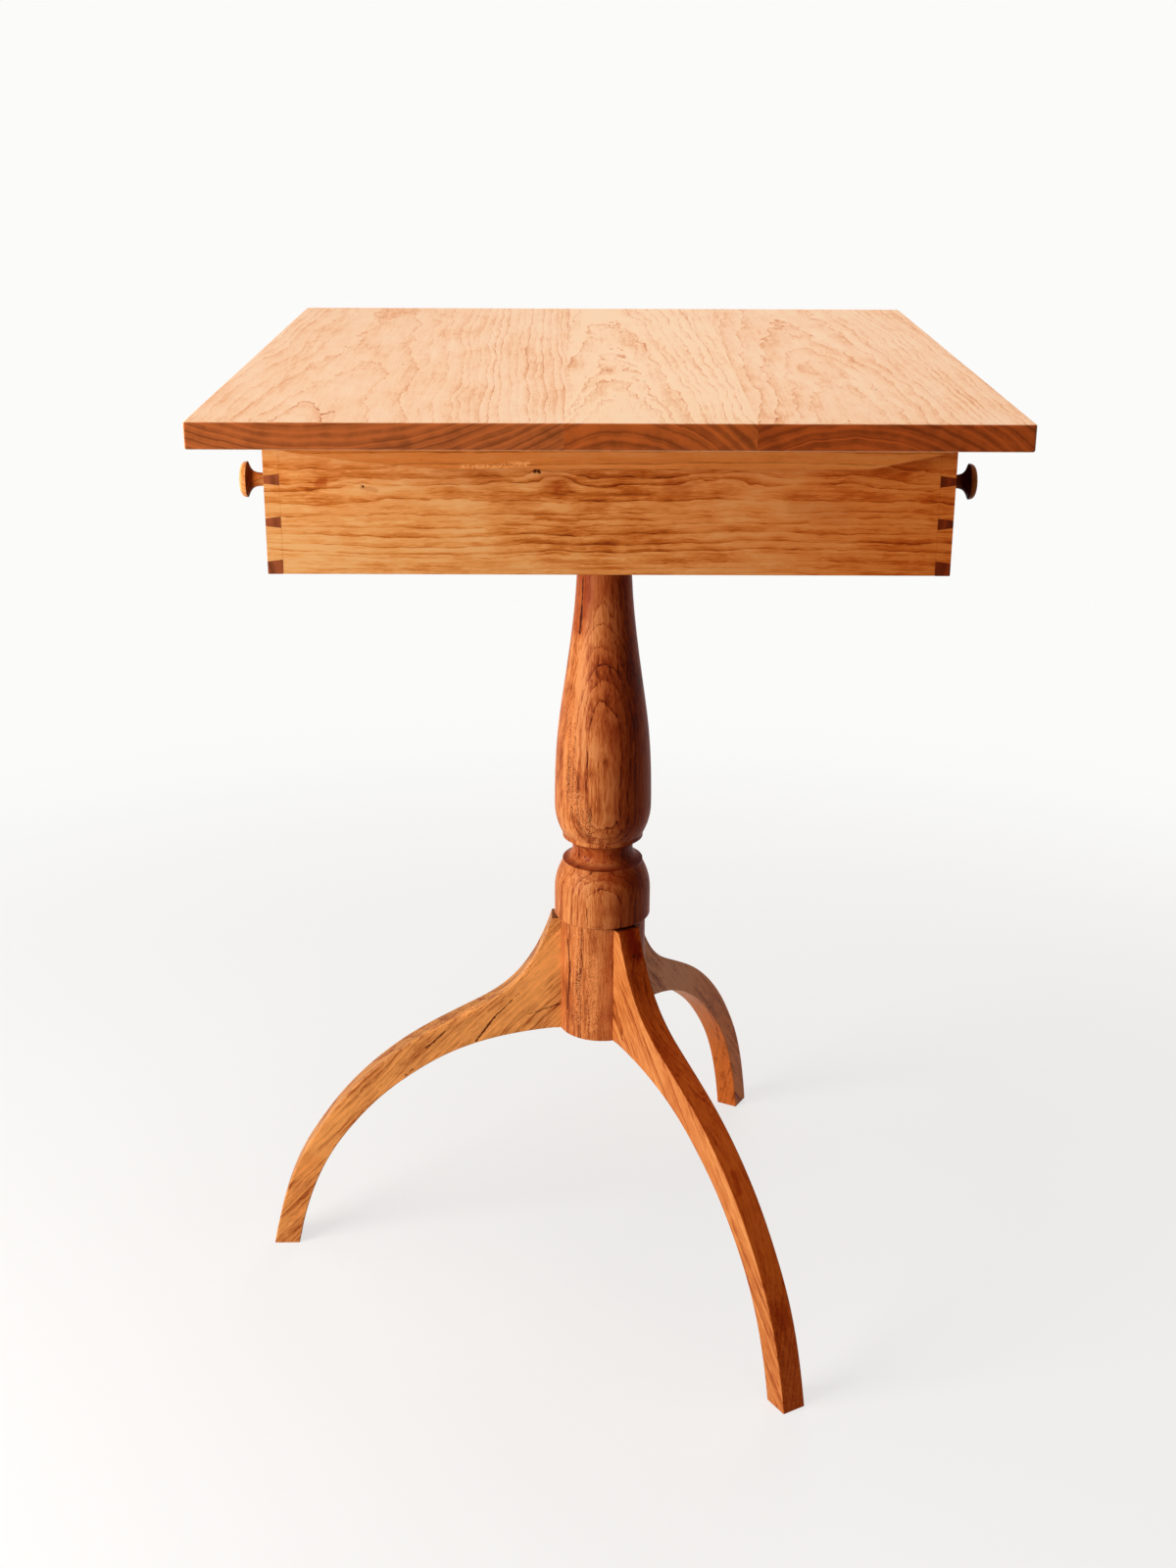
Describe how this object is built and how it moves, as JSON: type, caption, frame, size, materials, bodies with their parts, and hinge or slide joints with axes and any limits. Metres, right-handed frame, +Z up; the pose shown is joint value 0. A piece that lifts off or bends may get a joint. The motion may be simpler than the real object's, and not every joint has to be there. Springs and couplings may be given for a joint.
{
  "type": "sewing stand",
  "caption": "Tripod sewing stand: a board top on a turned vase column with swept legs, and dovetailed drawers hung under the top that slide through to either end.",
  "frame": {"origin": "on the floor, under the middle of the stand's overall plan; the column's axis stands 10.3 mm to the right of it", "axes": "+X to the right along the drawers, +Y to the back, +Z up"},
  "size_m": [0.5086, 0.54, 0.711],
  "materials": {
    "top_cherry": "oiled cherry, satin",
    "column_cherry": "oiled cherry, satin",
    "leg_cherry": "oiled cherry, satin",
    "drawer_cherry": "oiled cherry, satin",
    "runner_cherry": "oiled cherry, satin",
    "slide_cherry": "waxed cherry",
    "knob_cherry": "oiled cherry, satin",
    "drawer_pine": "bare pine",
    "wedge_maple": "bare maple",
    "iron": "dull iron"
  },
  "bodies": {
    "stand": {"top_board_left": "top_cherry", "top_board_middle": "top_cherry", "top_board_right": "top_cherry", "front_runner": "runner_cherry", "back_runner": "runner_cherry", "centre_cleat": "runner_cherry", "front_runner_screws": "iron", "back_runner_screws": "iron", "cleat_screws": "iron", "column": "column_cherry", "tenon_wedge": "wedge_maple", "leg_left": "leg_cherry", "leg_front": "leg_cherry", "leg_back": "leg_cherry"},
    "front_drawer": {"front_drawer_outer_side": "drawer_cherry", "front_drawer_inner_side": "drawer_cherry", "front_drawer_left_end": "drawer_cherry", "front_drawer_right_end": "drawer_cherry", "front_drawer_bottom": "drawer_pine", "front_drawer_outer_slide": "slide_cherry", "front_drawer_inner_slide": "slide_cherry", "front_drawer_left_knob": "knob_cherry", "front_drawer_right_knob": "knob_cherry"},
    "back_drawer": {"back_drawer_outer_side": "drawer_cherry", "back_drawer_inner_side": "drawer_cherry", "back_drawer_left_end": "drawer_cherry", "back_drawer_right_end": "drawer_cherry", "back_drawer_bottom": "drawer_pine", "back_drawer_outer_slide": "slide_cherry", "back_drawer_inner_slide": "slide_cherry", "back_drawer_left_knob": "knob_cherry", "back_drawer_right_knob": "knob_cherry"}
  },
  "joints": [
    {"name": "front_drawer_slide", "type": "slide", "parent": "stand", "child": "front_drawer", "axis": [1, 0, 0], "range_m": [-0.25, 0.25]},
    {"name": "back_drawer_slide", "type": "slide", "parent": "stand", "child": "back_drawer", "axis": [1, 0, 0], "range_m": [-0.25, 0.25]}
  ]
}
